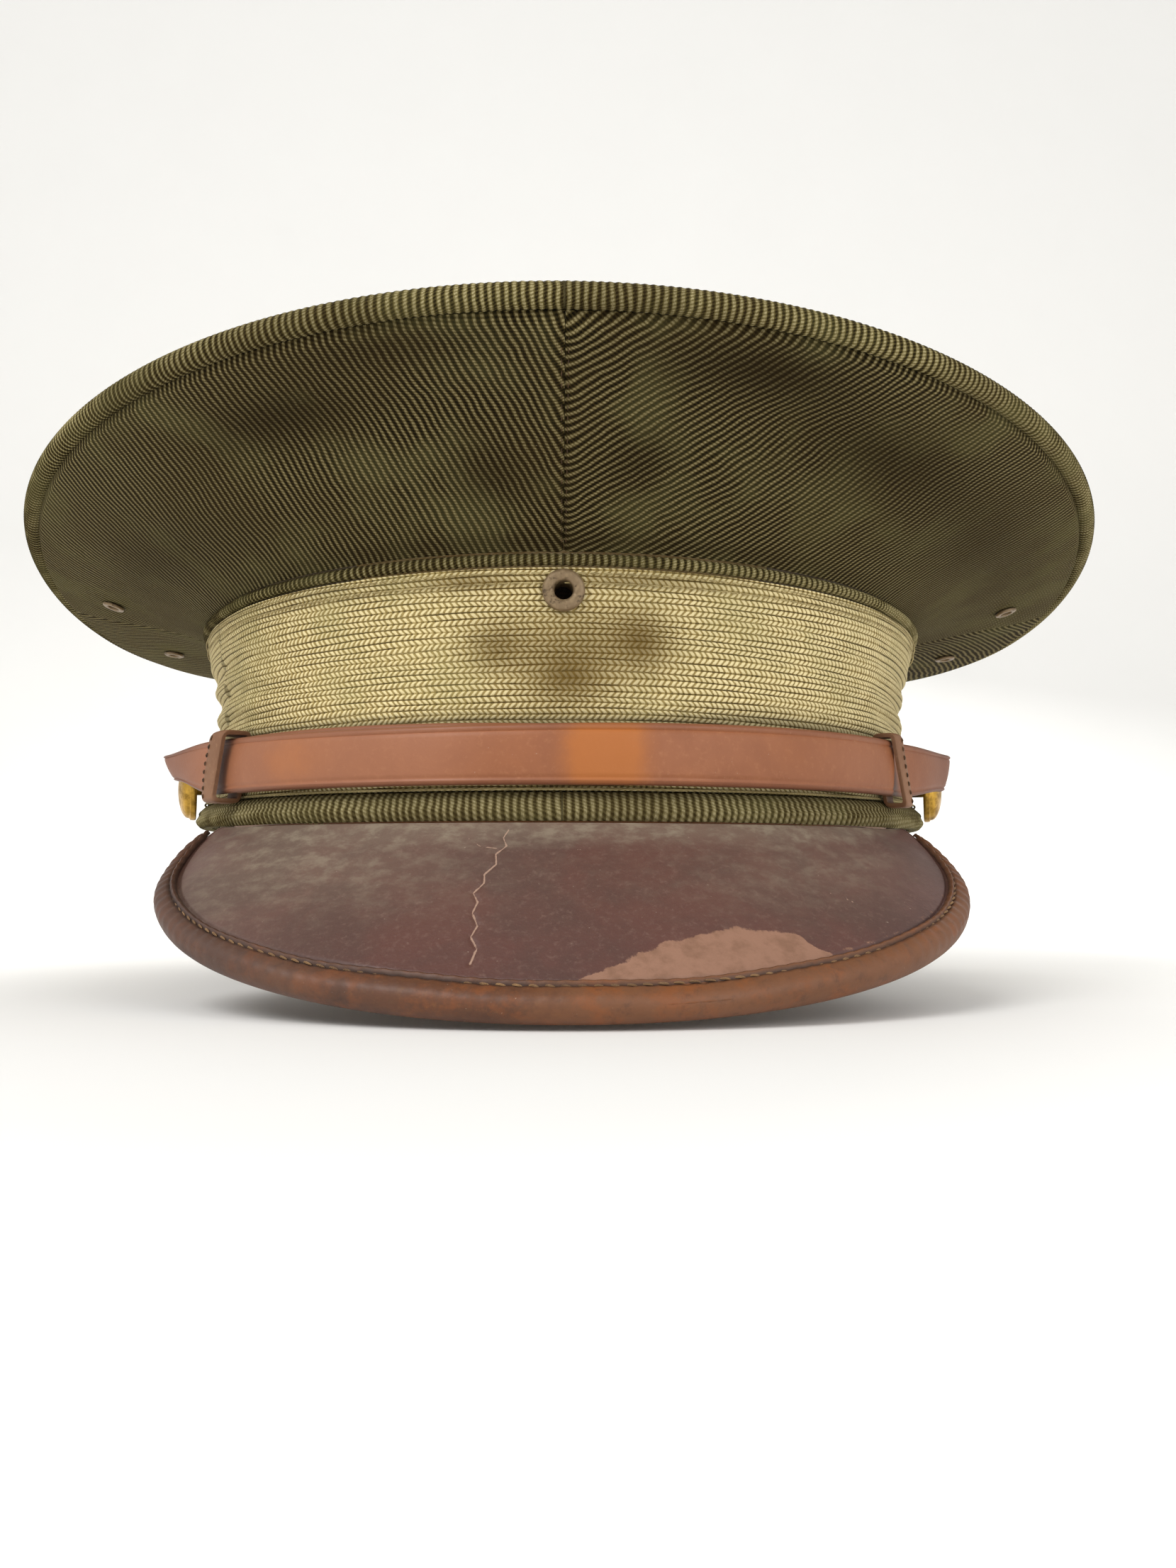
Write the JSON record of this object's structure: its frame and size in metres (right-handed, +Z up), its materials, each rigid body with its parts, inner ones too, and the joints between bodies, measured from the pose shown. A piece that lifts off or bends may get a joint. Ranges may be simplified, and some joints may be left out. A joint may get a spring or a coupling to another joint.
{
  "type": "military peaked cap",
  "caption": "Officer's peaked cap with wide oval crown, mohair band, sloping leather visor and a buttoned two-piece chin strap.",
  "frame": {"origin": "centre of the head opening, in the plane of the band's lower edge", "axes": "+Z up out of the crown, -Y to the front, over the visor; +X to the right seen from the front"},
  "size_m": [0.253, 0.2807, 0.1208],
  "materials": {
    "crown_cloth": "olive drab wool twill with a steep diagonal rib, matt",
    "welt_cloth": "the same wool twill, cut on the cross as piping",
    "braid": "plaited mohair braid, sun-bleached khaki with a faint lustre",
    "stiffening": "sized buckram and board, matt",
    "lining": "thin satin lining, slightly glossy",
    "visor_leather": "dark russet leather, polished once, dusty and crazed",
    "binding_leather": "rolled leather edge binding, worn to orange brown",
    "strap_leather": "russet bridle leather, worn smooth",
    "sweatband_leather": "thin tan leather, satin",
    "shield": "clear yellowed celluloid",
    "steel": "spring steel, dull",
    "brass": "gilt brass, dulled",
    "eyelet_paint": "brown painted metal, chipped"
  },
  "bodies": {
    "cap": {"crown_top_panel": "crown_cloth", "crown_quarter_front_left": "crown_cloth", "crown_quarter_front_right": "crown_cloth", "crown_quarter_rear_left": "crown_cloth", "crown_quarter_rear_right": "crown_cloth", "band_cloth": "crown_cloth", "crown_edge_welt": "welt_cloth", "band_upper_welt": "welt_cloth", "band_lower_welt": "welt_cloth", "mohair_braid": "braid", "band_stiffener": "stiffening", "crown_front_stiffener": "stiffening", "visor_core": "stiffening", "crown_lining_top": "lining", "crown_lining_side": "lining", "visor_top_leather": "visor_leather", "visor_lining": "visor_leather", "visor_binding": "binding_leather", "sweatband": "sweatband_leather", "sweatband_reed": "sweatband_leather", "sweat_shield": "shield", "crown_grommet_wire": "steel", "crown_front_stay": "steel", "crown_grommet_sleeve": "brass", "badge_eyelet_washer": "brass", "vent_washer_front_left": "brass", "vent_washer_rear_left": "brass", "vent_washer_front_right": "brass", "vent_washer_rear_right": "brass", "badge_eyelet": "eyelet_paint", "vent_eyelet_front_left": "eyelet_paint", "vent_eyelet_rear_left": "eyelet_paint", "vent_eyelet_front_right": "eyelet_paint", "vent_eyelet_rear_right": "eyelet_paint"},
    "chin_strap": {"chin_strap_outer": "strap_leather", "chin_strap_inner": "strap_leather"},
    "keeper_left": {"strap_keeper_left": "strap_leather"},
    "keeper_right": {"strap_keeper_right": "strap_leather"},
    "side_button_left": {"side_button_shell_left": "brass", "side_button_back_left": "brass", "side_button_split_ring_left": "steel"},
    "side_button_right": {"side_button_shell_right": "brass", "side_button_back_right": "brass", "side_button_split_ring_right": "steel"}
  },
  "joints": [
    {"name": "chin_strap_swing", "type": "hinge", "parent": "cap", "child": "chin_strap", "pos_m": [0, -0.03359, 0.0088], "axis": [-1, 0, 0], "range_deg": [0, 4]},
    {"name": "keeper_left_slide", "type": "hinge", "parent": "chin_strap", "child": "keeper_left", "pos_m": [0, -0.026, 0.0116], "axis": [0, 0, 1], "range_deg": [0, 30]},
    {"name": "keeper_right_slide", "type": "hinge", "parent": "chin_strap", "child": "keeper_right", "pos_m": [0, -0.026, 0.0116], "axis": [0, 0, -1], "range_deg": [0, 30]},
    {"name": "side_button_left_spin", "type": "hinge", "parent": "cap", "child": "side_button_left", "pos_m": [-0.08058, -0.03359, 0.0088], "axis": [-0.9659, -0.2588, 0], "continuous": true},
    {"name": "side_button_right_spin", "type": "hinge", "parent": "cap", "child": "side_button_right", "pos_m": [0.08058, -0.03359, 0.0088], "axis": [0.9659, -0.2588, 0], "continuous": true}
  ]
}
